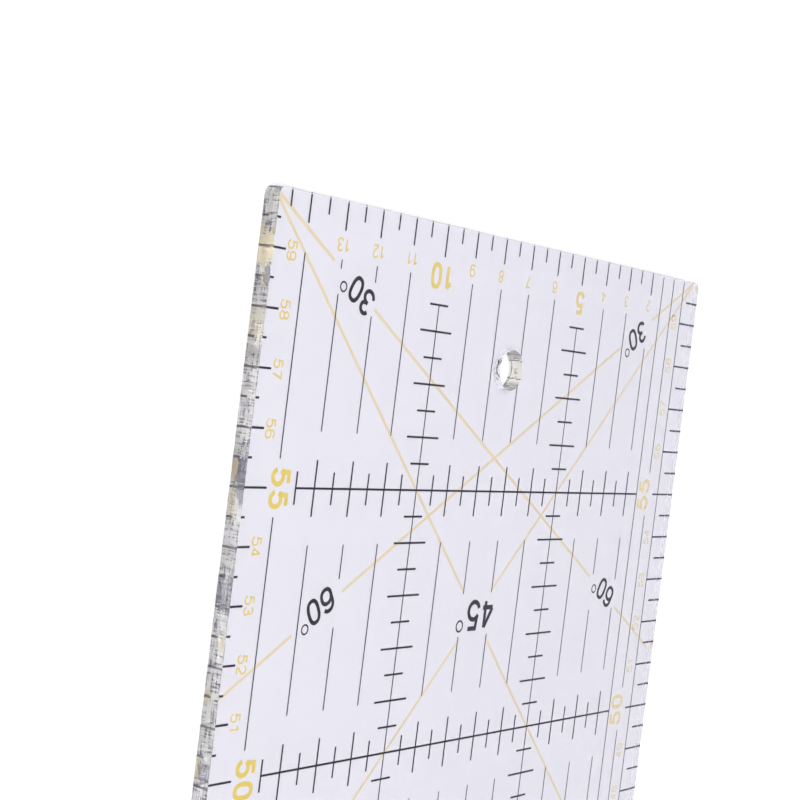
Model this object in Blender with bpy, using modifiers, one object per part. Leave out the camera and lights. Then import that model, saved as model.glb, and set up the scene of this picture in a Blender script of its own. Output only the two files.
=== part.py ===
"""A 60 x 15 cm quilting ruler: one clear acrylic sheet with a hanging hole, and the films of ink
printed on its back.

Frame: +X runs along the ruler towards the 60 cm end, +Y across it towards the 15 cm edge, +Z out
of its face. The origin is under the ruler's centre, level with the lowest film of ink. The
printed scales are given as (across, along) in centimetres, counted from the 0, 0 corner.
"""

import math

import bmesh
import bpy
from mathutils import Matrix, Vector

# Driving dimensions, in metres unless the name says centimetres
CM = 0.01
LENGTH_CM = 60
WIDTH_CM = 15
SHEET_THICKNESS = 0.0033
CORNER_RADIUS = 0.0015
EDGE_BREAK = 0.0001
HOLE_DIAMETER = 0.008
HOLE_ACROSS_CM = 7.5
HOLE_ALONG_CM = 57.45

FILM = 0.00002  # thickness of one colour of ink
FILM_GAP = 0.00001  # clearance between two films, and between the films and the sheet
YELLOW_BOTTOM = 0.0
BLACK_BOTTOM = YELLOW_BOTTOM + FILM + FILM_GAP
SHEET_BOTTOM = BLACK_BOTTOM + FILM + FILM_GAP

# Printed lines
MAIN_LINE = 0.0004
FINE_LINE = 0.00028
ANGLE_LINE = 0.0006
LINE_TO_EDGE = 0.0003
ANGLE_LINE_TO_EDGE = 0.0006
MAIN_STEP_CM = 5
MAIN_LINE_END_CM = 1.5
GRID_LEFT_CM = 13.5
GRID_RIGHT_CM = 1.5
MARGIN_LINE_CM = 0.5
LABEL_45_GAP_CM = (7, 8)
LABEL_30_GAP_CM = (1.8, 3.07)
LABEL_60_GAP_CM = (11.87, 13.13)

ARC_STEPS = 8
HOLE_STEPS = 48

OBJECT_NAME = "quilting_ruler"


def clear_scene():
    for obj in list(bpy.data.objects):
        bpy.data.objects.remove(obj, do_unlink=True)


def new_collection(name, parent):
    collection = bpy.data.collections.new(name)
    parent.children.link(collection)
    return collection


def material(name, colour, roughness, transmission=0.0):
    made = bpy.data.materials.new(name)
    made.use_nodes = True
    shader = made.node_tree.nodes["Principled BSDF"]
    shader.inputs["Base Color"].default_value = (*colour, 1.0)
    shader.inputs["Roughness"].default_value = roughness
    shader.inputs["Metallic"].default_value = 0.0
    shader.inputs["Transmission Weight"].default_value = transmission
    shader.inputs["IOR"].default_value = 1.49
    return made


def place(across_cm, along_cm):
    """The point (across, along) of the printed scales, in metres in the ruler's own frame."""
    return Vector(((along_cm - LENGTH_CM / 2) * CM, (across_cm - WIDTH_CM / 2) * CM))


def arc(centre, radius, start, sweep, steps):
    """Points on an arc about centre, from the angle start through sweep, in radians."""
    turns = [start + sweep * i / steps for i in range(steps + 1)]
    return [centre + radius * Vector((math.cos(a), math.sin(a))) for a in turns]


def rounded_outline():
    """The sheet's outline, counter-clockwise, with a small arc at each corner."""
    inset_x = LENGTH_CM * CM / 2 - CORNER_RADIUS
    inset_y = WIDTH_CM * CM / 2 - CORNER_RADIUS
    points = []
    for turn, (sx, sy) in enumerate(((1, 1), (-1, 1), (-1, -1), (1, -1))):
        centre = Vector((sx * inset_x, sy * inset_y))
        points += arc(centre, CORNER_RADIUS, turn * math.pi / 2, math.pi / 2, ARC_STEPS)
    return points


def hole_outline():
    centre = place(HOLE_ACROSS_CM, HOLE_ALONG_CM)
    return arc(centre, HOLE_DIAMETER / 2, 0, 2 * math.pi, HOLE_STEPS)[:-1]


def add_closed_spline(curve, points):
    spline = curve.splines.new("POLY")
    spline.points.add(len(points) - 1)
    for target, point in zip(spline.points, points):
        target.co = (point.x, point.y, 0.0, 1.0)
    spline.use_cyclic_u = True


def make_sheet(collection, finish):
    """The acrylic sheet: a filled flat outline with the hole in it, its sharp rims just broken."""
    curve = bpy.data.curves.new("acrylic_sheet", "CURVE")
    curve.dimensions = "2D"
    curve.fill_mode = "BOTH"
    curve.extrude = SHEET_THICKNESS / 2
    add_closed_spline(curve, rounded_outline())
    add_closed_spline(curve, hole_outline())
    curve.materials.append(finish)
    sheet = bpy.data.objects.new("acrylic_sheet", curve)
    sheet.location.z = SHEET_BOTTOM + SHEET_THICKNESS / 2
    collection.objects.link(sheet)
    weld = sheet.modifiers.new("join_caps", "WELD")
    weld.merge_threshold = 0.000001
    rims = sheet.modifiers.new("broken_rims", "BEVEL")
    rims.width = EDGE_BREAK
    rims.segments = 2
    rims.limit_method = "ANGLE"
    rims.angle_limit = math.radians(45)
    return sheet


def make_bar(name, collection, start, end, width, bottom):
    """A straight printed line, as a flat bar from start to end, both (across, along) in cm."""
    first, last = place(*start), place(*end)
    run = last - first
    mesh = bpy.data.meshes.new(name)
    shape = bmesh.new()
    bmesh.ops.create_cube(shape, size=1.0)
    shape.transform(Matrix.Diagonal((run.length, width, FILM, 1.0)))
    shape.to_mesh(mesh)
    shape.free()
    bar = bpy.data.objects.new(name, mesh)
    middle = (first + last) / 2
    bar.location = (middle.x, middle.y, bottom + FILM / 2)
    bar.rotation_euler.z = math.atan2(run.y, run.x)
    collection.objects.link(bar)
    return bar


def make_figure(name, collection, helpers, lines, bottom, finish):
    """One connected printed figure: its first line is the node, and the others are joined to it."""
    node = make_bar(name, collection, *lines[0], bottom)
    node.data.materials.append(finish)
    if len(lines) == 1:
        return node
    others = new_collection(name + "_lines", helpers)
    for number, line in enumerate(lines[1:], start=2):
        bar = make_bar(f"{name}_line_{number}", others, *line, bottom)
        bar.hide_render = True
        bar.display_type = "WIRE"
    join = node.modifiers.new("joined_lines", "BOOLEAN")
    join.operation = "UNION"
    join.operand_type = "COLLECTION"
    join.collection = others
    return node


def line_edges(centres_cm, width):
    """The (low, high) edges of parallel lines of one width, in centimetres."""
    half = width / CM / 2
    return [(centre - half, centre + half) for centre in centres_cm]


def between(low, high, spans):
    """True if the interval from low to high lies inside one of the spans."""
    middle = (low + high) / 2
    return any(first < middle < last for first, last in spans)


def make_measuring_grid(collection, finish):
    """The long main lines, the grid's right border and the cross lines each 5 cm, as one net.

    The net starts as a grid with a row of vertices on every edge of every line. The cells that
    no line covers are then removed, and the sheet of cells that is left gets its thickness.
    """
    inset = LINE_TO_EDGE / CM
    main_run = (MAIN_LINE_END_CM, LENGTH_CM - MAIN_LINE_END_CM)
    cross = line_edges(range(MAIN_STEP_CM, LENGTH_CM, MAIN_STEP_CM), MAIN_LINE)
    long_main = line_edges(range(MAIN_STEP_CM, WIDTH_CM, MAIN_STEP_CM), FINE_LINE)
    border = line_edges([GRID_RIGHT_CM], FINE_LINE)
    along = sorted([inset, *main_run, LENGTH_CM - inset, *(x for span in cross for x in span)])
    across = sorted([GRID_LEFT_CM, *(y for span in long_main + border for y in span)])

    shape = bmesh.new()
    bmesh.ops.create_grid(shape, x_segments=len(along) - 1, y_segments=len(across) - 1, size=0.5)
    for vertex in shape.verts:
        column = round((vertex.co.x + 0.5) * (len(along) - 1))
        row = round((vertex.co.y + 0.5) * (len(across) - 1))
        vertex.co.xy = place(across[row], along[column])
        vertex.co.z = 0.0
    bare = []
    for face in shape.faces:
        xs = [vertex.co.x / CM + LENGTH_CM / 2 for vertex in face.verts]
        ys = [vertex.co.y / CM + WIDTH_CM / 2 for vertex in face.verts]
        on_border = between(min(ys), max(ys), border)
        on_main = between(min(ys), max(ys), long_main) and between(min(xs), max(xs), [main_run])
        on_cross = between(min(xs), max(xs), cross)
        if not (on_border or on_main or on_cross):
            bare.append(face)
    bmesh.ops.delete(shape, geom=bare, context="FACES")

    mesh = bpy.data.meshes.new("black_measuring_grid")
    shape.to_mesh(mesh)
    shape.free()
    mesh.materials.append(finish)
    net = bpy.data.objects.new("black_measuring_grid", mesh)
    net.location.z = BLACK_BOTTOM
    collection.objects.link(net)
    film = net.modifiers.new("film_thickness", "SOLIDIFY")
    film.thickness = FILM
    film.offset = 1.0
    return net


def on_angle_line(across, degrees, end_of_ruler, mirrored):
    """A point of the line that leaves a corner of the end at this angle to the end's edge."""
    fall = across * math.tan(math.radians(degrees))
    if end_of_ruler == "far":
        return (WIDTH_CM - across if mirrored else across, LENGTH_CM - fall)
    return (across if mirrored else WIDTH_CM - across, fall)


def angle_line(first, last, degrees, end_of_ruler, mirrored):
    start = on_angle_line(first, degrees, end_of_ruler, mirrored)
    end = on_angle_line(last, degrees, end_of_ruler, mirrored)
    return (start, end, ANGLE_LINE)


def angle_figures(end_of_ruler):
    """The 45 and 30 degree lines of one end, as connected figures, with gaps for their labels."""
    inset = ANGLE_LINE_TO_EDGE / CM
    crossing = []
    rest = {}
    for mirrored in (False, True):
        side = "left" if mirrored else "right"
        crossing.append(angle_line(inset, LABEL_45_GAP_CM[0], 45, end_of_ruler, mirrored))
        crossing.append(angle_line(inset, LABEL_30_GAP_CM[0], 30, end_of_ruler, mirrored))
        middle = (LABEL_30_GAP_CM[1], LABEL_60_GAP_CM[0])
        crossing.append(angle_line(*middle, 30, end_of_ruler, mirrored))
        leg = (LABEL_45_GAP_CM[1], WIDTH_CM - inset)
        rest[f"45_leg_from_{side}"] = [angle_line(*leg, 45, end_of_ruler, mirrored)]
        tail = (LABEL_60_GAP_CM[1], WIDTH_CM - inset)
        rest[f"30_tail_from_{side}"] = [angle_line(*tail, 30, end_of_ruler, mirrored)]
    return {"angle_crossing": crossing, **rest}


def main():
    clear_scene()
    parts = new_collection(OBJECT_NAME, bpy.context.scene.collection)
    helpers = new_collection(OBJECT_NAME + "_cutters", bpy.context.scene.collection)
    acrylic = material("clear_acrylic", (0.90, 0.90, 0.96), 0.03, transmission=1.0)
    black = material("black_ink", (0.025, 0.022, 0.035), 0.5)
    yellow = material("yellow_ink", (0.78, 0.58, 0.09), 0.5)

    make_sheet(parts, acrylic)
    make_measuring_grid(parts, black)
    inset = LINE_TO_EDGE / CM
    margin = ((MARGIN_LINE_CM, inset), (MARGIN_LINE_CM, LENGTH_CM - inset), FINE_LINE)
    make_figure("black_margin_line", parts, helpers, [margin], BLACK_BOTTOM, black)
    for end_of_ruler in ("far", "near"):
        for figure, lines in angle_figures(end_of_ruler).items():
            name = f"yellow_{end_of_ruler}_{figure}"
            make_figure(name, parts, helpers, lines, YELLOW_BOTTOM, yellow)


main()
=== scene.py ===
"""The looks of a 60 x 15 cm quilting ruler: a clear acrylic sheet with its print on the back.

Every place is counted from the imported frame's sheet: +X runs along the ruler towards the 60 cm end, +Y across
it towards the 15 cm edge, +Z out of its face. Places in the print are (across, along) in
centimetres, counted from the 0, 0 corner of its scales.
"""

import math

import bmesh
import bpy
from mathutils import Matrix, Vector, noise


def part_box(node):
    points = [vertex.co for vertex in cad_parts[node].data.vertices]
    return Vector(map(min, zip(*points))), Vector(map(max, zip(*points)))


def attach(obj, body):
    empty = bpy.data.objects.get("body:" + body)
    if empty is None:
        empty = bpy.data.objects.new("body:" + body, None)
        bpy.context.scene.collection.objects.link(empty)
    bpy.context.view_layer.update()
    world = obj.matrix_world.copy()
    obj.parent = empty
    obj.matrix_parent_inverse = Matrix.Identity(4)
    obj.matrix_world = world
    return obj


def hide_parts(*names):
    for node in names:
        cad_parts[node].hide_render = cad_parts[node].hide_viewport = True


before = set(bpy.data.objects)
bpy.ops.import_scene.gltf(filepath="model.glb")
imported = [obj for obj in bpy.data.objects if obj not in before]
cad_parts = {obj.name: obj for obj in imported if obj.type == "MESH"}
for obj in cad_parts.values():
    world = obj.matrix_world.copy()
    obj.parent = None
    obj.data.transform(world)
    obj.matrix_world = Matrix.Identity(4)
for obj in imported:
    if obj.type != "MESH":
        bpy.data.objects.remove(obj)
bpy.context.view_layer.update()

BODY = "root"
CM = 0.01
MM = 0.001
MICRON = 0.000001

# The sheet, as the frame gives it
SHEET_LOW, SHEET_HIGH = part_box("acrylic_sheet")
WIDTH_CM = round((SHEET_HIGH.y - SHEET_LOW.y) / CM)
LENGTH_CM = round((SHEET_HIGH.x - SHEET_LOW.x) / CM)
BLACK_LOW, BLACK_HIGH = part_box("black_measuring_grid")
YELLOW_LOW, YELLOW_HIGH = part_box("yellow_far_angle_crossing")

# The black print is bedded in the sheet's underside, and the yellow print lies just below that side.
BEDDING = 8 * MICRON
UNDERSIDE = BLACK_HIGH.z - BEDDING
BLACK_TOP = BLACK_HIGH.z - 1 * MICRON
BLACK_BOTTOM = BLACK_LOW.z + 1 * MICRON
YELLOW_TOP = UNDERSIDE - 1 * MICRON
YELLOW_BOTTOM = YELLOW_TOP - (YELLOW_HIGH.z - YELLOW_LOW.z)
FLOOR_HEIGHT = YELLOW_BOTTOM - 3 * MICRON

# Sheet details
CORNER_RADIUS = 1.5 * MM
RIM_BREAK = 0.02 * MM
HOLE_RIM_BREAK = 0.08 * MM
HOLE_RADIUS = 4 * MM
# How far from the 0 edge a painted reflection washes out the print
PAINTED_REFLECTION_REACH = 50 * MM
HOLE_ACROSS_CM = 7.5
HOLE_ALONG_CM = 57.45
HOLE_STEPS = 384
HOLE_LEVELS = 44

# Cracks down the hole's wall: bearing in degrees, the shares of the height they run between and
# the width in millimetres
CRACKS = ((-60, 0.0, 1.0, 0.12), (-53, 0.25, 0.8, 0.08), (-112, 0.0, 1.0, 0.11),
          (-146, 0.1, 0.9, 0.08), (-86, 0.35, 0.6, 0.08), (-36, 0.1, 0.7, 0.08),
          (66, 0.3, 0.62, 0.32), (88, 0.25, 0.45, 0.14), (101, 0.25, 0.45, 0.14),
          (121, 0.35, 0.6, 0.12))
CRACK_DEPTH = 0.08 * MM
RING_WIDTH = 0.09 * MM
RING_PITCH = 0.42 * MM
# A gap, counted in crack widths, that is far from any crack
FAR_OFF = 5.0
RING_HEIGHT = 0.5 * MM

# The sheet's material slots
POLISHED, SAWN, DRILLED, MILLED, CRACKED, FROSTED = range(6)

# Painted images of the print seen through the edge at 15: tint, strength, millimetres from the end,
# share of the height, half length in millimetres and half height as a share
CREAM = (1.0, 0.84, 0.52)
NAVY = (0.06, 0.07, 0.22)
PATCH_PERIOD = 100 * MM
PAINTED_EDGE_IMAGES = ((CREAM, 0.95, 10.5, 0.50, 3.0, 0.80), (CREAM, 0.9, 15.4, 0.60, 1.3, 0.25),
                (NAVY, 0.7, 14.8, 0.80, 1.5, 0.25), (CREAM, 0.4, 22.5, 0.40, 3.0, 0.60),
                (CREAM, 0.9, 47.2, 0.22, 1.7, 0.18), (NAVY, 0.6, 48.8, 0.75, 3.6, 0.32),
                (CREAM, 0.5, 52.5, 0.30, 2.5, 0.30), (NAVY, 0.45, 67.5, 0.50, 2.6, 0.80),
                (CREAM, 0.6, 76.0, 0.75, 1.2, 0.20), (CREAM, 0.7, 85.0, 0.20, 1.5, 0.20),
                (CREAM, 0.7, 97.0, 0.15, 2.2, 0.20), (NAVY, 0.4, 97.0, 0.60, 2.0, 0.30))

# How far a mitred corner may reach: the least cosine that its width is divided by
LEAST_MITRE = 0.62

# Widths and lengths of the printed lines
THICK_LINE = 0.40 * MM
FINE_LINE = 0.28 * MM
EDGE_INSET_CM = 0.01
MAIN_STEP_CM = 5
HALF_TICK_CM = 0.29
WHOLE_TICK_CM = 0.5
MAIN_TICK_CM = 0.75
MAIN_END_TICK_CM = 0.6

LEAST_LINE_CM = 0.02
HOLE_CLEARANCE_CM = 0.04

# Where the numerals' middles lie, across from the 0 edge or along from the 0 end
LEFT_LARGE_CM, LEFT_SMALL_CM = 13.92, 14.335
RIGHT_LARGE_CM, RIGHT_SMALL_CM = 1.17, 0.775
END_LARGE_CM, END_SMALL_CM = 59.035, 59.255
LARGE_SETBACK_CM = 0.01

# A single numeral at an end is set this much aside of its tick
SINGLE_SHIFT_CM = 0.055

# Numerals: height, width and stroke in centimetres
SMALL_NUMERAL = (0.25, 0.165, 0.033)
LARGE_NUMERAL = (0.50, 0.33, 0.088)
ANGLE_NUMERAL = (0.50, 0.335, 0.076)
ANGLE_45_NUMERAL = (0.63, 0.44, 0.092)

# The step from digit to digit, in centimetres
SMALL_ADVANCE, LARGE_ADVANCE, ANGLE_ADVANCE, ANGLE_45_ADVANCE = 0.185, 0.39, 0.39, 0.50


def place(across_cm, along_cm):
    """The point (across, along) of the printed scales, in metres in the ruler's frame."""
    return Vector((SHEET_LOW.x + along_cm * CM, SHEET_LOW.y + across_cm * CM))


# ---------------------------------------------------------------------------------- meshes


def new_piece(name, shape, materials, body=BODY):
    """Makes an object of the shape, in the scene, riding on its body."""
    mesh = bpy.data.meshes.new(name)
    shape.to_mesh(mesh)
    shape.free()
    for made in materials:
        mesh.materials.append(made)
    piece = bpy.data.objects.new(name, mesh)
    bpy.context.scene.collection.objects.link(piece)
    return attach(piece, body)


def ribbon_edges(points, width, closed):
    """The left and right edge of a line of this width, with mitred corners."""
    count = len(points)
    left, right = [], []
    for i, point in enumerate(points):
        before = points[i - 1] if closed or i > 0 else None
        after = points[(i + 1) % count] if closed or i < count - 1 else None
        first = (point - before).normalized() if before is not None else None
        second = (after - point).normalized() if after is not None else None
        first = first or second
        second = second or first
        normal = Vector((-first.y - second.y, first.x + second.x)).normalized()
        cosine = normal.dot(Vector((-first.y, first.x)))
        reach = width / 2 / max(cosine, LEAST_MITRE)
        left.append(point + normal * reach)
        right.append(point - normal * reach)
    return left, right


def add_ribbon(shape, points, width, bottom, top, closed=False):
    """Adds a flat printed line along the points, as a closed solid from bottom to top."""
    left, right = ribbon_edges(points, width, closed)
    rings = []
    for l, r in zip(left, right):
        corners = ((l, bottom), (r, bottom), (r, top), (l, top))
        rings.append([shape.verts.new((p.x, p.y, z)) for p, z in corners])
    spans = list(zip(rings, rings[1:]))
    if closed:
        spans.append((rings[-1], rings[0]))
    for here, there in spans:
        for i in range(4):
            j = (i + 1) % 4
            shape.faces.new((here[i], there[i], there[j], here[j]))
    if not closed:
        shape.faces.new(rings[0])
        shape.faces.new(reversed(rings[-1]))


def add_line(shape, start, end, width, bottom, top):
    add_ribbon(shape, [place(*start), place(*end)], width, bottom, top)


# ------------------------------------------------------------------------------- numerals


def oval(cx, cy, rx, ry, start, end, steps):
    """Points on an oval from the angle start to the angle end, in degrees."""
    turns = [math.radians(start + (end - start) * i / steps) for i in range(steps + 1)]
    return [Vector((cx + rx * math.cos(a), cy + ry * math.sin(a))) for a in turns]


def squared_oval(cx, cy, rx, ry, power, steps):
    """A closed oval with fuller shoulders than an ellipse."""
    points = []
    for i in range(steps):
        a = 2 * math.pi * i / steps
        x = math.copysign(abs(math.cos(a)) ** (2 / power), math.cos(a))
        y = math.copysign(abs(math.sin(a)) ** (2 / power), math.sin(a))
        points.append(Vector((cx + rx * x, cy + ry * y)))
    return points


def turned(strokes):
    """The same strokes, half a turn round the middle of the glyph's box."""
    return [([Vector((1 - p.x, 1 - p.y)) for p in points], closed) for points, closed in strokes]


def open_line(*pairs):
    return ([Vector(pair) for pair in pairs], False)


def six():
    bowl = (squared_oval(0.5, 0.32, 0.5, 0.32, 2.2, 28), True)
    back = oval(0.52, 0.70, 0.52, 0.30, 28, 175, 12) + [Vector((0.0, 0.50)), Vector((0.03, 0.38))]
    return [bowl, (back, False)]


def glyph_strokes(digit):
    """The middle lines of a digit's strokes, in a box from (0, 0) to (1, 1)."""
    if digit == "0":
        return [(squared_oval(0.5, 0.5, 0.5, 0.5, 2.5, 36), True)]
    if digit == "1":
        return [open_line((0.62, 0), (0.62, 1)), open_line((0.12, 0.79), (0.36, 0.84), (0.60, 0.98))]
    if digit == "2":
        top = oval(0.5, 0.72, 0.47, 0.28, 168, -20, 14)
        tail = [Vector((0.82, 0.46)), Vector((0.30, 0.20)), Vector((0.08, 0.0))]
        return [(top + tail, False), open_line((0.0, 0.0), (1.0, 0.0))]
    if digit == "3":
        upper = oval(0.48, 0.765, 0.43, 0.235, 165, -90, 14) + [Vector((0.36, 0.53))]
        lower = [Vector((0.36, 0.53))] + oval(0.48, 0.265, 0.50, 0.265, 90, -168, 16)
        return [(upper, False), (lower, False)]
    if digit == "4":
        stem = open_line((0.74, 0.0), (0.74, 1.0))
        bar = open_line((1.0, 0.24), (0.0, 0.24))
        return [stem, bar, open_line((0.02, 0.26), (0.71, 0.99))]
    if digit == "5":
        flag = open_line((0.92, 1.0), (0.18, 1.0), (0.08, 0.50))
        bowl = oval(0.47, 0.33, 0.52, 0.33, 150, -165, 18)
        return [flag, (bowl, False)]
    if digit == "6":
        return six()
    if digit == "7":
        return [open_line((0.0, 1.0), (1.0, 1.0), (0.72, 0.62), (0.50, 0.30), (0.40, 0.0))]
    if digit == "8":
        upper = (oval(0.5, 0.765, 0.42, 0.235, 0, 348, 29), True)
        lower = (oval(0.5, 0.265, 0.5, 0.265, 0, 348, 29), True)
        return [upper, lower]
    return turned(six())


def joined_mesh(name, strokes):
    """One mesh of the strokes, each a bmesh, joined by a Boolean where they cross."""
    objects = []
    for number, stroke in enumerate(strokes):
        mesh = bpy.data.meshes.new(f"{name}_{number}")
        stroke.to_mesh(mesh)
        stroke.free()
        objects.append(bpy.data.objects.new(mesh.name, mesh))
        bpy.context.scene.collection.objects.link(objects[-1])
    first, others = objects[0], objects[1:]
    for other in others:
        union = first.modifiers.new(other.name, "BOOLEAN")
        union.operation = "UNION"
        union.object = other
    graph = bpy.context.evaluated_depsgraph_get()
    made = bpy.data.meshes.new_from_object(first.evaluated_get(graph))
    for used in objects:
        bpy.data.objects.remove(used)
    cleaned = bmesh.new()
    cleaned.from_mesh(made)
    bmesh.ops.remove_doubles(cleaned, verts=cleaned.verts, dist=WELD_CM)
    bmesh.ops.dissolve_degenerate(cleaned, edges=cleaned.edges, dist=WELD_CM)
    bmesh.ops.triangulate(cleaned, faces=cleaned.faces)
    cleaned.to_mesh(made)
    cleaned.free()
    return made


glyph_meshes = {}
WELD_CM = 0.00005


def glyph_mesh(digit, numeral):
    """The digit as a mesh whose unit is a centimetre, one unit thick, centred on its own middle."""
    key = (digit, numeral)
    if key not in glyph_meshes:
        height, width, stroke = numeral
        strokes = []
        for points, closed in glyph_strokes(digit):
            middle = [
                Vector(((p.x - 0.5) * (width - stroke), (p.y - 0.5) * (height - stroke)))
                for p in points
            ]
            shape = bmesh.new()
            add_ribbon(shape, middle, stroke, 0.0, 1.0, closed)
            bmesh.ops.recalc_face_normals(shape, faces=shape.faces)
            strokes.append(shape)
        glyph_meshes[key] = joined_mesh(f"glyph_{digit}", strokes)
    return glyph_meshes[key]


def add_number(shape, text, across_cm, along_cm, turn, numeral, advance_cm, bottom, top):
    """Adds the digits of a number, centred on a place, read in the direction turn in degrees."""
    middle = place(across_cm, along_cm)
    heading = Matrix.Rotation(math.radians(turn), 4, "Z")
    for i, digit in enumerate(text):
        shift = heading @ Vector(((i - (len(text) - 1) / 2) * advance_cm * CM, 0.0, 0.0))
        move = Matrix.Translation((middle.x + shift.x, middle.y + shift.y, bottom))
        scale = Matrix.Diagonal((CM, CM, top - bottom, 1.0))
        glyph = glyph_mesh(digit, numeral).copy()
        glyph.transform(move @ heading @ scale)
        shape.from_mesh(glyph)
        bpy.data.meshes.remove(glyph)


# ------------------------------------------------------------------------------- the sheet


def corner_outline():
    """The sheet's outline as (point, outward direction), walked counter-clockwise."""
    step = 1.0 * MM
    walk = []
    half = Vector(((SHEET_HIGH.x - SHEET_LOW.x) / 2, (SHEET_HIGH.y - SHEET_LOW.y) / 2))
    middle = Vector(((SHEET_HIGH.x + SHEET_LOW.x) / 2, (SHEET_HIGH.y + SHEET_LOW.y) / 2))
    inset = half - Vector((CORNER_RADIUS, CORNER_RADIUS))
    signs = ((1, 1), (-1, 1), (-1, -1), (1, -1))
    corner_steps = 12
    for turn, (sx, sy) in enumerate(signs):
        centre = middle + Vector((sx * inset.x, sy * inset.y))
        for i in range(corner_steps + 1):
            angle = (turn + i / corner_steps) * math.pi / 2
            out = Vector((math.cos(angle), math.sin(angle)))
            walk.append((centre + CORNER_RADIUS * out, out))
        nx, ny = signs[(turn + 1) % 4]
        goal = middle + Vector((nx * inset.x, ny * inset.y)) + CORNER_RADIUS * out
        start = walk[-1][0]
        steps = round((goal - start).length / step)
        walk += [(start.lerp(goal, i / steps), out) for i in range(1, steps)]
    return walk


def hole_outline():
    """The hole's outline as (point, direction into the acrylic), walked clockwise."""
    centre = place(HOLE_ACROSS_CM, HOLE_ALONG_CM)
    walk = []
    for i in range(HOLE_STEPS):
        angle = -2 * math.pi * i / HOLE_STEPS
        out = Vector((math.cos(angle), math.sin(angle)))
        walk.append((centre + HOLE_RADIUS * out, -out))
    return walk


def wall_profile(rim, levels):
    """(inset, height) down a cut wall, from the underside's rim to the face's, both broken."""
    top = SHEET_HIGH.z
    bottom = UNDERSIDE
    quarter = [math.radians(90 * i / 4) for i in range(5)]
    low = [(rim * (1 - math.sin(a)), bottom + rim * (1 - math.cos(a))) for a in quarter]
    high = [(rim * (1 - math.cos(a)), top - rim * (1 - math.sin(a))) for a in quarter]
    between = [
        (0.0, bottom + rim + (top - bottom - 2 * rim) * i / (levels + 1))
        for i in range(1, levels + 1)
    ]
    return low + between + high


def saw_wander(point, height):
    """How far the saw cut runs inside the nominal edge, in metres."""
    slow = noise.noise(Vector((point.x * 60, point.y * 60, 0.0)))
    quick = noise.noise(Vector((point.x * 900, point.y * 900, height * 500)))
    return (0.010 * (1 + slow) + 0.006 * (1 + quick)) * MM


def crack_depth(point, height):
    """How deep the cracks and the ring left by the drill are at a place on the hole's wall."""
    spoke = point - place(HOLE_ACROSS_CM, HOLE_ALONG_CM)
    bearing = math.atan2(spoke.y, spoke.x)
    share = (height - UNDERSIDE) / (SHEET_HIGH.z - UNDERSIDE)
    waver = 0.3 * MM * noise.noise(Vector((point.x * 300, point.y * 300, 0.0)))
    gaps = [FAR_OFF]
    if spoke.y < 0:
        gaps.append((height - UNDERSIDE - RING_HEIGHT - waver) / RING_WIDTH)
    for number, (degrees, low, high, width) in enumerate(CRACKS):
        if low <= share <= high:
            zigzag = noise.noise(Vector((number * 10, 0.0, height * 1800)))
            turn = bearing - math.radians(degrees + 11 * zigzag)
            gaps.append(math.remainder(turn, 2 * math.pi) * HOLE_RADIUS / (width * MM))
    return CRACK_DEPTH * math.exp(-min(abs(gap) for gap in gaps) ** 2)


def drill_wander(point, height):
    """How far the drilled wall runs outside the nominal hole: rings cut by the drill, and cracks."""
    rings = math.sin(height / RING_PITCH * 2 * math.pi)
    uneven = noise.noise(Vector((point.x * 700, point.y * 700, height * 900)))
    off = (place(HOLE_ACROSS_CM, HOLE_ALONG_CM).y - point.y) / HOLE_RADIUS
    coarse = 0.1 + 0.45 * (1 + off)
    cut = coarse * (0.008 * (1 + rings) + 0.02 * (1 + uneven)) * MM
    return cut + crack_depth(point, height)


def edge_finish(point, out, height):
    """The ends are cut clean, the edge at 15 is sawn and the edge at 0 has a light satin."""
    if abs(out.x) > abs(out.y):
        return MILLED
    return SAWN if out.y > 0 else FROSTED


def hole_finish(point, out, height):
    """The drill left one side of the hole clear and the other white, and cracks in both."""
    # Faces down in the cracks take the crack material, which is dark with painted shade
    if crack_depth(point, height) > CRACK_DEPTH / 2:
        return CRACKED
    return DRILLED if out.y > 0 else MILLED


def add_wall(shape, walk, profile, wander, finish):
    """Adds a cut wall along the outline, and returns its bottom and top loops of edges."""
    rings = []
    for inset, height in profile:
        free = 1.0 if inset == 0.0 else 0.0
        ring = []
        for point, out in walk:
            moved = point - out * (inset + wander(point, height) * free)
            ring.append(shape.verts.new((moved.x, moved.y, height)))
        rings.append(ring)
    for low, high in zip(rings, rings[1:]):
        for i in range(len(walk)):
            j = (i + 1) % len(walk)
            face = shape.faces.new((low[i], low[j], high[j], high[i]))
            middle = face.calc_center_median()
            face.material_index = finish(middle.xy, walk[i][1], middle.z)
    loops = []
    for ring in (rings[0], rings[-1]):
        loops.append([shape.edges.get((ring[i - 1], ring[i])) for i in range(len(ring))])
    return loops


def make_sheet():
    """The acrylic sheet: two polished faces, a sawn wall all round and a drilled hole."""
    shape = bmesh.new()
    outer = add_wall(shape, corner_outline(), wall_profile(RIM_BREAK, 6), saw_wander, edge_finish)
    hole = wall_profile(HOLE_RIM_BREAK, HOLE_LEVELS)
    inner = add_wall(shape, hole_outline(), hole, drill_wander, hole_finish)
    for outer_loop, inner_loop in zip(outer, inner):
        bmesh.ops.triangle_fill(
            shape, use_beauty=True, use_dissolve=False, edges=outer_loop + inner_loop
        )
    bmesh.ops.recalc_face_normals(shape, faces=shape.faces)
    finishes = [polished_acrylic(), sawn_acrylic(), drilled_acrylic(), milled_acrylic(),
                cracked_acrylic(), frosted_acrylic()]
    sheet = new_piece("cut_acrylic_sheet", shape, finishes)
    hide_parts("acrylic_sheet")
    return sheet


# ------------------------------------------------------------------------------- materials


def new_material(name):
    made = bpy.data.materials.new(name)
    made.use_nodes = True
    return made, made.node_tree.nodes, made.node_tree.links


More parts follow.
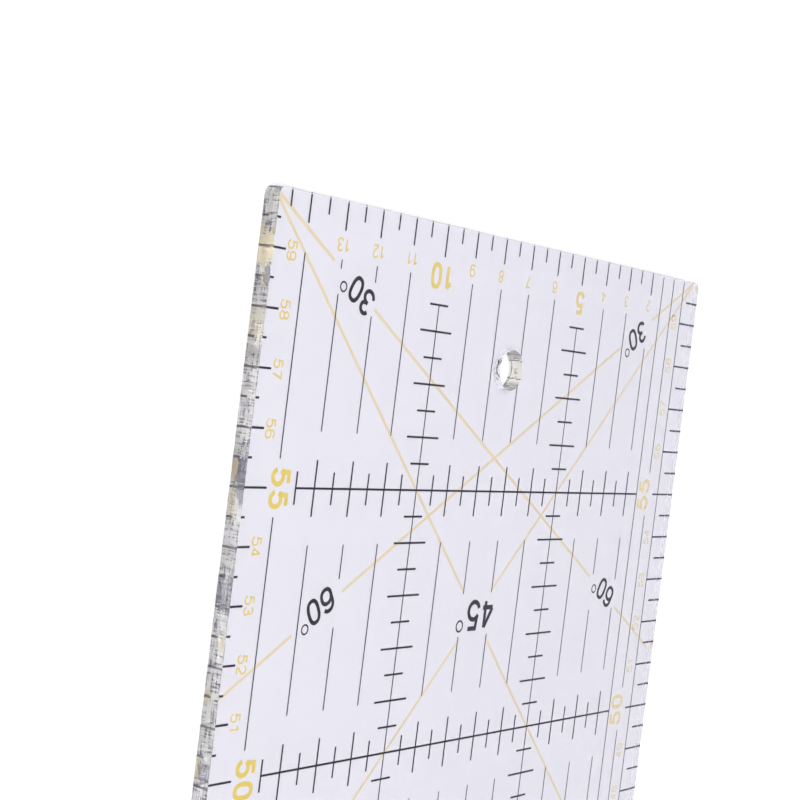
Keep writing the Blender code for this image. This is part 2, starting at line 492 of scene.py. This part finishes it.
def add_noise(nodes, links, scale, detail=2.0, stretch=(1.0, 1.0, 1.0)):
    """A noise texture in the object's own coordinates, in metres times scale."""
    where = nodes.new("ShaderNodeTexCoord")
    mapping = nodes.new("ShaderNodeMapping")
    mapping.inputs["Scale"].default_value = stretch
    texture = nodes.new("ShaderNodeTexNoise")
    texture.inputs["Scale"].default_value = scale
    texture.inputs["Detail"].default_value = detail
    links.new(where.outputs["Object"], mapping.inputs["Vector"])
    links.new(mapping.outputs["Vector"], texture.inputs["Vector"])
    return texture.outputs["Fac"]


def map_range(nodes, links, value, low, high, start=0.3, end=0.7):
    """The value, spread from start to end, as a number from low to high."""
    spread = nodes.new("ShaderNodeMapRange")
    spread.inputs["From Min"].default_value = start
    spread.inputs["From Max"].default_value = end
    spread.inputs["To Min"].default_value = low
    spread.inputs["To Max"].default_value = high
    links.new(value, spread.inputs["Value"])
    return spread.outputs["Result"]


def mix_colours(nodes, links, factor, first, second):
    """A mix of two colours, each a tuple or the output of another mix."""
    mix = nodes.new("ShaderNodeMix")
    mix.data_type = "RGBA"
    links.new(factor, mix.inputs["Factor"])
    for socket, colour in (("A", first), ("B", second)):
        if isinstance(colour, tuple):
            mix.inputs[socket].default_value = (*colour, 1.0)
        else:
            links.new(colour, mix.inputs[socket])
    return mix.outputs["Result"]


def add_bump(nodes, links, height, distance):
    bump = nodes.new("ShaderNodeBump")
    bump.inputs["Distance"].default_value = distance
    bump.inputs["Strength"].default_value = 1.0
    links.new(height, bump.inputs["Height"])
    return bump.outputs["Normal"]


ACRYLIC_IOR = 1.49


def clear_shader(nodes):
    shader = nodes["Principled BSDF"]
    shader.inputs["Transmission Weight"].default_value = 1.0
    shader.inputs["IOR"].default_value = ACRYLIC_IOR
    return shader


def polished_acrylic():
    """The sheet's faces: clear, with the faintest blue, and hardly worn."""
    made, nodes, links = new_material("polished_acrylic")
    shader = clear_shader(nodes)
    cloud = add_noise(nodes, links, 25.0)
    colour = mix_colours(nodes, links, cloud, (0.817, 0.811, 0.853), (0.827, 0.821, 0.863))
    links.new(colour, shader.inputs["Base Color"])
    wear = add_noise(nodes, links, 60.0, 4.0)
    roughness = map_range(nodes, links, wear, 0.0, 0.02)
    links.new(roughness, shader.inputs["Roughness"])
    return made


def cut_shader(nodes, clear):
    """A cut wall: partly clear, and partly white where the cut scatters the light."""
    shader = clear_shader(nodes)
    shader.inputs["Transmission Weight"].default_value = clear
    return shader


def add_math(nodes, links, operation, *values):
    """One step of arithmetic on numbers or the outputs of other nodes."""
    step = nodes.new("ShaderNodeMath")
    step.operation = operation
    for socket, value in zip(step.inputs, values):
        if isinstance(value, (int, float)):
            socket.default_value = value
        else:
            links.new(value, socket)
    return step.outputs["Value"]


def object_place(nodes, links):
    """The X, Y and Z of the object's own coordinates, in metres."""
    where = nodes.new("ShaderNodeTexCoord")
    parts = nodes.new("ShaderNodeSeparateXYZ")
    links.new(where.outputs["Object"], parts.inputs["Vector"])
    return parts.outputs


def patch(nodes, links, across, along, ragged):
    """1 in a ragged patch and 0 outside it, from the two distances off its middle, in its reaches."""
    squares = [add_math(nodes, links, "POWER", side, 2.0) for side in (across, along)]
    distance = add_math(nodes, links, "SQRT", add_math(nodes, links, "ADD", *squares))
    return map_range(nodes, links, add_math(nodes, links, "ADD", distance, ragged), 1.0, 0.0, 1.0, 1.2)


def offset(nodes, links, value, middle, reach):
    """How far the value lies from the middle, counted in reaches."""
    gap = add_math(nodes, links, "SUBTRACT", value, middle)
    return add_math(nodes, links, "ABSOLUTE", add_math(nodes, links, "DIVIDE", gap, reach))


def wall_height(share):
    return UNDERSIDE + share * (SHEET_HIGH.z - UNDERSIDE)


def tick_bars(nodes, links, parts):
    """1 in the painted dark bars that stand for ticks seen through the edge, the halves' only low down."""
    along = add_math(nodes, links, "SUBTRACT", parts["X"], SHEET_LOW.x)
    gap = add_math(nodes, links, "PINGPONG", along, CM / 2)
    inner, outer = THICK_LINE * 0.35, THICK_LINE * 0.65
    whole = map_range(nodes, links, gap, 1.0, 0.0, inner, outer)
    half = map_range(nodes, links, gap, 0.0, 1.0, CM / 2 - outer, CM / 2 - inner)
    low = map_range(nodes, links, parts["Z"], 1.0, 0.0, wall_height(0.42), wall_height(0.48))
    half = add_math(nodes, links, "MULTIPLY", half, low)
    return add_math(nodes, links, "MAXIMUM", whole, half)


def sawn_acrylic():
    """The edge at 15: a fine hatch of saw marks, painted dark bars for the ticks seen through it, and painted
    patches of the print seen through it, which repeat each 10 cm.
    """
    made, nodes, links = new_material("sawn_acrylic")
    shader = cut_shader(nodes, 0.68)
    teeth = add_noise(nodes, links, 1.0, 2.0, (3900.0, 3900.0, 480.0))
    strokes = add_noise(nodes, links, 1.0, 2.0, (340.0, 340.0, 3900.0))
    marks = add_math(nodes, links, "ADD", teeth, strokes)
    hatch = map_range(nodes, links, marks, 0.0, 1.0, 0.82, 1.0)
    colour = mix_colours(nodes, links, hatch, (0.20, 0.18, 0.25), (1.0, 0.98, 0.97))
    parts = object_place(nodes, links)
    from_end = add_math(nodes, links, "SUBTRACT", SHEET_HIGH.x, parts["X"])
    from_end = add_math(nodes, links, "WRAP", from_end, PATCH_PERIOD, 0.0)
    ragged = add_noise(nodes, links, 1.0, 4.0, (900.0, 900.0, 1800.0))
    ragged = map_range(nodes, links, ragged, -0.6, 0.6)
    # Painted patches: images of the print seen through the edge, laid over the hatch
    for tint, strength, along, share, half_length, half_share in PAINTED_EDGE_IMAGES:
        reach = half_share * (SHEET_HIGH.z - UNDERSIDE)
        sides = (offset(nodes, links, from_end, along * MM, half_length * MM),
                 offset(nodes, links, parts["Z"], wall_height(share), reach))
        inside = patch(nodes, links, *sides, ragged)
        inside = add_math(nodes, links, "MULTIPLY", inside, strength)
        colour = mix_colours(nodes, links, inside, colour, tint)
    # Painted dark bars: images of the ticks seen through the edge, laid on its colour
    bars = add_math(nodes, links, "MULTIPLY", tick_bars(nodes, links, parts), 0.8)
    colour = mix_colours(nodes, links, bars, colour, (0.10, 0.09, 0.12))
    links.new(colour, shader.inputs["Base Color"])
    roughness = map_range(nodes, links, marks, 0.0, 0.06, 0.7, 1.3)
    links.new(roughness, shader.inputs["Roughness"])
    links.new(add_bump(nodes, links, marks, 15 * MICRON), shader.inputs["Normal"])
    return made


def milled_acrylic():
    """The two ends and the near side of the hole: a cleaner cut, with faint marks across it."""
    made, nodes, links = new_material("milled_acrylic")
    shader = clear_shader(nodes)
    marks = add_noise(nodes, links, 1.0, 2.0, (2000.0, 2000.0, 120.0))
    colour = mix_colours(nodes, links, marks, (0.98, 0.98, 0.99), (1.0, 1.0, 1.0))
    links.new(colour, shader.inputs["Base Color"])
    links.new(map_range(nodes, links, marks, 0.0, 0.03), shader.inputs["Roughness"])
    links.new(add_bump(nodes, links, marks, 2 * MICRON), shader.inputs["Normal"])
    return made


def drilled_acrylic():
    """The far side of the hole: near white, grey towards its two sides as painted shade where the wall curves
    away, with one rosy spot.
    """
    made, nodes, links = new_material("drilled_acrylic")
    shader = cut_shader(nodes, 0.3)
    rings = add_noise(nodes, links, 1.0, 2.0, (60.0, 60.0, 2600.0))
    streaks = add_noise(nodes, links, 500.0, 2.0)
    colour = mix_colours(nodes, links, streaks, (1.0, 0.95, 0.88), (1.0, 1.0, 1.0))
    parts = object_place(nodes, links)
    middle = place(HOLE_ACROSS_CM, HOLE_ALONG_CM)
    grain = add_noise(nodes, links, 1.0, 3.0, (2600.0, 2600.0, 900.0))
    # Painted shade: grey towards the two sides of the far wall, broken by grain
    shaded_sides = offset(nodes, links, parts["X"], middle.x, HOLE_RADIUS)
    shaded_sides = map_range(nodes, links, shaded_sides, 0.0, 1.0, 0.5, 0.7)
    shaded_sides = add_math(nodes, links, "MULTIPLY", shaded_sides, map_range(nodes, links, grain, 0.3, 1.0))
    colour = mix_colours(nodes, links, shaded_sides, colour, (0.20, 0.20, 0.25))
    ragged = map_range(nodes, links, grain, -0.5, 0.5)
    sides = (offset(nodes, links, parts["X"], middle.x - 0.3 * MM, 0.35 * MM),
             offset(nodes, links, parts["Z"], wall_height(0.5), 0.35 * MM))
    spot = add_math(nodes, links, "MULTIPLY", patch(nodes, links, *sides, ragged), 0.6)
    colour = mix_colours(nodes, links, spot, colour, (0.62, 0.20, 0.20))
    links.new(colour, shader.inputs["Base Color"])
    links.new(map_range(nodes, links, streaks, 0.03, 0.18), shader.inputs["Roughness"])
    links.new(add_bump(nodes, links, rings, 30 * MICRON), shader.inputs["Normal"])
    return made


def frosted_acrylic():
    """The edge at 0: a light satin cut."""
    made, nodes, links = new_material("frosted_acrylic")
    shader = clear_shader(nodes)
    grain = add_noise(nodes, links, 1.0, 3.0, (1800.0, 1800.0, 300.0))
    colour = mix_colours(nodes, links, grain, (0.99, 0.99, 0.99), (1.0, 1.0, 1.0))
    links.new(colour, shader.inputs["Base Color"])
    links.new(map_range(nodes, links, grain, 0.04, 0.09), shader.inputs["Roughness"])
    return made


def cracked_acrylic():
    """The bottoms of the cracks in the hole's wall: dull, and dark with painted shade."""
    made, nodes, links = new_material("cracked_acrylic")
    shader = cut_shader(nodes, 0.1)
    grain = add_noise(nodes, links, 3000.0, 2.0)
    # The dark colours are painted shade inside the cracks
    colour = mix_colours(nodes, links, grain, (0.05, 0.04, 0.05), (0.16, 0.13, 0.13))
    links.new(colour, shader.inputs["Base Color"])
    links.new(map_range(nodes, links, grain, 0.3, 0.6), shader.inputs["Roughness"])
    return made


def ink(name, thin, full, reflected_colour, sheen):
    """Screen ink: it shifts a little where it lies thinner, and is paler towards the 0 edge, where a painted
    reflection washes it out.
    """
    made, nodes, links = new_material(name)
    shader = nodes["Principled BSDF"]
    coverage = add_noise(nodes, links, 700.0, 3.0)
    spread = map_range(nodes, links, coverage, 0.0, 1.0)
    colour = mix_colours(nodes, links, spread, thin, full)
    # Paler towards the 0 edge: painted reflection of the face
    side = object_place(nodes, links)["Y"]
    reflection_share = map_range(nodes, links, side, 1.0, 0.0, SHEET_LOW.y, PAINTED_REFLECTION_REACH)
    colour = mix_colours(nodes, links, reflection_share, colour, reflected_colour)
    links.new(colour, shader.inputs["Base Color"])
    grain = add_noise(nodes, links, 5000.0, 2.0)
    links.new(map_range(nodes, links, grain, sheen, sheen + 0.15), shader.inputs["Roughness"])
    links.new(add_bump(nodes, links, grain, 4 * MICRON), shader.inputs["Normal"])
    return made


def pale_floor():
    made, nodes, links = new_material("pale_floor")
    shader = nodes["Principled BSDF"]
    cloud = add_noise(nodes, links, 4.0)
    colour = mix_colours(nodes, links, cloud, (0.93, 0.93, 0.93), (0.95, 0.95, 0.95))
    links.new(colour, shader.inputs["Base Color"])
    shader.inputs["Roughness"].default_value = 0.9
    shader.inputs["Specular IOR Level"].default_value = 0.0
    return made


# ------------------------------------------------------------------------------ the print

ONE_CM_LINES = (13, 12, 11, 9, 8, 7, 6, 4, 3, 2)
FULL_LINE_CM = 1.5
RIGHT_LINE_ENDS = (0.03, 59.97)


def is_main(cm):
    return cm % MAIN_STEP_CM == 0


def tick_length(cm, main_length):
    """A whole centimetre's tick is longer than a half's, and a fifth's is the longest."""
    if is_main(cm):
        return main_length
    return WHOLE_TICK_CM if cm == int(cm) else HALF_TICK_CM


def halves(first, last):
    """Every half centimetre from first to last."""
    return [first + i / 2 for i in range(int(round((last - first) * 2)) + 1)]


def black_piece(name, shape):
    bmesh.ops.recalc_face_normals(shape, faces=shape.faces)
    new_piece(name, shape, [BLACK_INK])


def yellow_piece(name, shape, finish):
    return new_piece(name, shape, [finish])


def black_line(shape, start, end, width=THICK_LINE):
    add_line(shape, start, end, width, BLACK_BOTTOM, BLACK_TOP)


def make_edge_ticks():
    """The scales along both long edges."""
    for name, edge, inward in (("left", WIDTH_CM, -1), ("right", 0, 1)):
        shape = bmesh.new()
        for along in halves(0.5, LENGTH_CM - 0.5):
            length = tick_length(along, MAIN_TICK_CM)
            start = edge + inward * EDGE_INSET_CM
            black_line(shape, (start, along), (edge + inward * length, along))
        black_piece(f"black_{name}_edge_scale", shape)


def make_end_ticks():
    """The scales along both end edges."""
    for name, edge, inward in (("far", LENGTH_CM, -1), ("near", 0, 1)):
        shape = bmesh.new()
        for across in halves(2, WIDTH_CM - 0.5):
            length = tick_length(across, MAIN_END_TICK_CM)
            start = edge + inward * EDGE_INSET_CM
            black_line(shape, (across, start), (across, edge + inward * length))
        black_piece(f"black_{name}_end_scale", shape)


def make_cross_ticks():
    """The small ticks across the lines of the grid, each half centimetre."""
    shape = bmesh.new()
    for along in range(MAIN_STEP_CM, LENGTH_CM, MAIN_STEP_CM):
        for across in halves(2, WIDTH_CM - FULL_LINE_CM):
            if not is_main(across):
                half = tick_length(across, 0)
                black_line(shape, (across, along - half), (across, along + half))
    black_piece("black_cross_line_ticks", shape)
    shape = bmesh.new()
    for across in range(MAIN_STEP_CM, WIDTH_CM, MAIN_STEP_CM):
        for along in halves(FULL_LINE_CM, LENGTH_CM - FULL_LINE_CM):
            if not is_main(along):
                half = tick_length(along, 0)
                black_line(shape, (across - half, along), (across + half, along))
    black_piece("black_long_line_ticks", shape)


def hole_gap(across):
    """The stretch of a line along the ruler that the hanging hole takes out, if any."""
    reach = HOLE_RADIUS / CM + HOLE_CLEARANCE_CM
    off = abs(across - HOLE_ACROSS_CM)
    if off >= reach:
        return []
    half = math.sqrt(reach**2 - off**2)
    return [(HOLE_ALONG_CM - half, HOLE_ALONG_CM + half)]


# Stretches of the 1 cm lines left bare for the labels of the far end's angle lines, by line
LABEL_GAPS = {
    13: [(58.40, 58.84)],
    12: [(58.10, 58.70), (52.50, 53.38)],
    8: [(52.10, 52.95)],
    7: [(52.10, 52.95)],
    3: [(52.40, 53.20)],
    2: [(58.30, 59.00), (52.40, 53.05)],
}


def gaps_on(across):
    """The gaps on one line: the far end's labels, the near end's, half a turn round, the hole."""
    far = LABEL_GAPS.get(across, [])
    near = [(LENGTH_CM - b, LENGTH_CM - a) for a, b in LABEL_GAPS.get(WIDTH_CM - across, [])]
    return far + near + hole_gap(across)


def without(stretch, gaps):
    """What is left of a stretch when the gaps are taken out of it."""
    left = [stretch]
    for low, high in gaps:
        cut = []
        for start, end in left:
            cut += [(start, min(end, low)), (max(start, high), end)]
        left = [(start, end) for start, end in cut if end - start > LEAST_LINE_CM]
    return left


def make_lines_along():
    """The 1 cm lines of the grid, and the two thin lines near the edges, broken at the numerals."""
    shape = bmesh.new()
    for across in ONE_CM_LINES:
        for start in range(0, LENGTH_CM, MAIN_STEP_CM):
            for low, high in without((start + 1, start + 4), gaps_on(across)):
                black_line(shape, (across, low), (across, high), FINE_LINE)
    black_piece("black_1_cm_lines", shape)
    for name, across, ends in (("left", WIDTH_CM - 1, (1, 59)), ("right", 1, RIGHT_LINE_ENDS)):
        shape = bmesh.new()
        for start in range(0, LENGTH_CM, MAIN_STEP_CM):
            low = max(start + 0.5, ends[0]) if start else ends[0]
            high = min(start + 4.5, ends[1]) if start + MAIN_STEP_CM < LENGTH_CM else ends[1]
            black_line(shape, (across, low), (across, high), FINE_LINE)
        black_piece(f"black_{name}_inner_line", shape)


def make_side_numerals():
    """The centimetres along both long edges, the fifths large."""
    for name, turn in (("left", 180), ("right", 0)):
        small, large = bmesh.new(), bmesh.new()
        for along in range(1, LENGTH_CM):
            if is_main(along):
                across = LEFT_LARGE_CM if name == "left" else RIGHT_LARGE_CM
                add_number(large, str(along), across, along - LARGE_SETBACK_CM, turn,
                           LARGE_NUMERAL, LARGE_ADVANCE, YELLOW_BOTTOM, YELLOW_TOP)
            else:
                across = LEFT_SMALL_CM if name == "left" else RIGHT_SMALL_CM
                add_number(small, str(along), across, along, turn, SMALL_NUMERAL,
                           SMALL_ADVANCE, YELLOW_BOTTOM, YELLOW_TOP)
        yellow_piece(f"yellow_{name}_numerals", small, YELLOW_FINE)
        yellow_piece(f"yellow_{name}_large_numerals", large, YELLOW_FULL)


def make_end_numerals():
    """The centimetres along both end edges, read from outside the ruler."""
    for name, turn in (("far", 90), ("near", 270)):
        small, large = bmesh.new(), bmesh.new()
        for number in range(2, WIDTH_CM - 1):
            if is_main(number):
                along = END_LARGE_CM if name == "far" else LENGTH_CM - END_LARGE_CM
                add_number(large, str(number), number, along, turn, LARGE_NUMERAL,
                           LARGE_ADVANCE, YELLOW_BOTTOM, YELLOW_TOP)
            else:
                along = END_SMALL_CM if name == "far" else LENGTH_CM - END_SMALL_CM
                set_over = SINGLE_SHIFT_CM if number < 10 else 0
                across = number + (set_over if name == "far" else -set_over)
                add_number(small, str(number), across, along, turn, SMALL_NUMERAL,
                           SMALL_ADVANCE, YELLOW_BOTTOM, YELLOW_TOP)
        yellow_piece(f"yellow_{name}_end_numerals", small, YELLOW_FINE)
        yellow_piece(f"yellow_{name}_end_large_numerals", large, YELLOW_FULL)


def add_degree_ring(shape, across, along, radius_cm, stroke_cm):
    centre = place(across, along)
    steps = 24
    points = [
        centre + radius_cm * CM * Vector((math.cos(a), math.sin(a)))
        for a in (2 * math.pi * i / steps for i in range(steps))
    ]
    add_ribbon(shape, points, stroke_cm * CM, BLACK_BOTTOM, BLACK_TOP, closed=True)


def add_angle_label(shape, text, across, along, turn, numeral, advance, ring, half_turned):
    """Adds an angle's numerals and degree ring, on the far end or half a turn round."""
    if half_turned:
        across, along, turn = WIDTH_CM - across, LENGTH_CM - along, turn + 180
    add_number(shape, text, across, along, turn, numeral, advance, BLACK_BOTTOM, BLACK_TOP)
    angle = math.radians(turn)
    forward, upward, radius, stroke = ring
    # Across runs along +Y and along runs along +X, so a heading's sine is its step across.
    ring_across = across + forward * math.sin(angle) + upward * math.cos(angle)
    ring_along = along + forward * math.cos(angle) - upward * math.sin(angle)
    add_degree_ring(shape, ring_across, ring_along, radius, stroke)


# A degree ring: forward of and above the number's middle, radius and stroke, in centimetres
ANGLE_RING = (0.51, 0.17, 0.085, 0.03)
ANGLE_45_RING = (0.69, 0.20, 0.108, 0.036)

# The far end's labels: number, across, along and the way they are read
ANGLE_LABELS = (("30", 12.345, 58.435, 60), ("60", 12.4325, 52.91, 120),
                ("30", 2.38, 58.55, 120), ("60", 2.37, 52.765, 60))
ANGLE_45_LABEL = ("45", 7.31, 52.505, 90)


def make_angle_labels():
    """The angles' numbers and degree rings, on both ends."""
    for name, half_turned in (("far", False), ("near", True)):
        shape = bmesh.new()
        for label in ANGLE_LABELS:
            add_angle_label(shape, *label, ANGLE_NUMERAL, ANGLE_ADVANCE, ANGLE_RING, half_turned)
        add_angle_label(shape, *ANGLE_45_LABEL, ANGLE_45_NUMERAL, ANGLE_45_ADVANCE,
                        ANGLE_45_RING, half_turned)
        black_piece(f"black_{name}_angle_labels", shape)


def make_angle_lines():
    """The yellow angle lines, as the frame has them, raised to just under the acrylic."""
    raised = YELLOW_TOP - YELLOW_HIGH.z
    for name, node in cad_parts.items():
        if name.startswith("yellow_"):
            shape = bmesh.new()
            shape.from_mesh(node.data)
            bmesh.ops.translate(shape, verts=shape.verts, vec=(0.0, 0.0, raised))
            piece = yellow_piece(f"printed_{name}", shape, YELLOW_LINE)
            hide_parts(name)


# ------------------------------------------------------------------------------ the studio


def make_floor():
    """A wide pale floor just under the ruler."""
    shape = bmesh.new()
    bmesh.ops.create_grid(shape, x_segments=8, y_segments=8, size=30.0)
    mesh = bpy.data.meshes.new("floor")
    shape.to_mesh(mesh)
    shape.free()
    mesh.materials.append(pale_floor())
    floor = bpy.data.objects.new("floor", mesh)
    floor.location.z = FLOOR_HEIGHT
    bpy.context.scene.collection.objects.link(floor)


# How bright the studio is overhead, and what share of that its wall and the space between have
OVERHEAD_LIGHT = 3.2
WALL_LIGHT = 0.28
DIM_LIGHT = 0.07


def make_world():
    """White studio light: a wide soft lamp overhead, a pale wall, and a dim space between them."""
    world = bpy.data.worlds.new("studio")
    bpy.context.scene.world = world
    world.use_nodes = True
    nodes, links = world.node_tree.nodes, world.node_tree.links
    nodes.clear()
    out = nodes.new("ShaderNodeOutputWorld")
    where = nodes.new("ShaderNodeTexCoord")
    parts = nodes.new("ShaderNodeSeparateXYZ")
    links.new(where.outputs["Generated"], parts.inputs["Vector"])
    studio = nodes.new("ShaderNodeValToRGB")
    studio.color_ramp.interpolation = "EASE"
    levels = ((0.0, WALL_LIGHT), (0.28, WALL_LIGHT), (0.52, DIM_LIGHT), (0.70, DIM_LIGHT), (0.90, 1.0))
    while len(studio.color_ramp.elements) < len(levels):
        studio.color_ramp.elements.new(0.5)
    for element, (height, level) in zip(studio.color_ramp.elements, levels):
        element.position = height
        element.color = (level, level, level, 1.0)
    links.new(parts.outputs["Z"], studio.inputs["Fac"])
    lamps = nodes.new("ShaderNodeBackground")
    lamps.inputs["Strength"].default_value = OVERHEAD_LIGHT
    links.new(studio.outputs["Color"], lamps.inputs["Color"])
    backdrop = nodes.new("ShaderNodeBackground")
    backdrop.inputs["Color"].default_value = (1.0, 1.0, 1.0, 1.0)
    backdrop.inputs["Strength"].default_value = 1.05
    path = nodes.new("ShaderNodeLightPath")
    mix = nodes.new("ShaderNodeMixShader")
    links.new(path.outputs["Is Camera Ray"], mix.inputs["Fac"])
    links.new(lamps.outputs["Background"], mix.inputs[1])
    links.new(backdrop.outputs["Background"], mix.inputs[2])
    links.new(mix.outputs["Shader"], out.inputs["Surface"])


# The camera in metres, degrees and millimetres, its height counted from the print
CAMERA_PLACE = (0.274862, 0.283381)
CAMERA_HEIGHT = 0.187937
CAMERA_TARGET = (0.266559, 0.031191)
CAMERA_ROLL = -98.1695
CAMERA_LENS = 76.433
LIGHT_BOUNCES = 32


def make_camera():
    """The camera: its place, the point it looks at, and its turn about that line."""
    data = bpy.data.cameras.new("camera")
    data.lens = CAMERA_LENS
    data.sensor_width = 36.0
    data.clip_start = 0.01
    camera = bpy.data.objects.new("camera", data)
    bpy.context.scene.collection.objects.link(camera)
    here = Vector((*CAMERA_PLACE, UNDERSIDE + CAMERA_HEIGHT))
    target = Vector((*CAMERA_TARGET, UNDERSIDE))
    forward = (target - here).normalized()
    level = forward.cross(Vector((0.0, 0.0, 1.0))).normalized()
    upright = level.cross(forward)
    roll = math.radians(CAMERA_ROLL)
    up = upright * math.cos(roll) + level * math.sin(roll)
    right = forward.cross(up)
    turn = Matrix((right, up, -forward)).transposed().to_4x4()
    camera.matrix_world = Matrix.Translation(here) @ turn
    bpy.context.scene.camera = camera


def make_studio():
    make_floor()
    make_world()
    make_camera()
    scene = bpy.context.scene
    scene.view_settings.view_transform = "Standard"
    scene.cycles.blur_glossy = 0.0
    scene.cycles.max_bounces = LIGHT_BOUNCES
    scene.cycles.glossy_bounces = LIGHT_BOUNCES
    scene.cycles.transmission_bounces = LIGHT_BOUNCES


INK_SHEEN = 0.45
# The third colour of each ink is how it looks under the painted reflection near the 0 edge
BLACK_INK = ink("black_screen_ink", (0.025, 0.020, 0.044), (0.015, 0.012, 0.030),
                (0.075, 0.067, 0.108), INK_SHEEN)
YELLOW_FULL = ink("yellow_screen_ink", (0.95, 0.76, 0.18), (0.93, 0.72, 0.12),
                  (0.94, 0.82, 0.45), INK_SHEEN)
YELLOW_FINE = ink("yellow_fine_ink", (0.95, 0.77, 0.24), (0.93, 0.73, 0.18),
                  (0.93, 0.81, 0.46), INK_SHEEN)
YELLOW_LINE = ink("yellow_line_ink", (0.96, 0.83, 0.53), (0.94, 0.80, 0.45),
                  (0.94, 0.83, 0.56), INK_SHEEN)

make_sheet()
make_edge_ticks()
make_end_ticks()
make_cross_ticks()
make_lines_along()
make_side_numerals()
make_end_numerals()
make_angle_labels()
make_angle_lines()
for name in ("black_measuring_grid", "black_margin_line"):
    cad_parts[name].material_slots[0].material = BLACK_INK
make_studio()
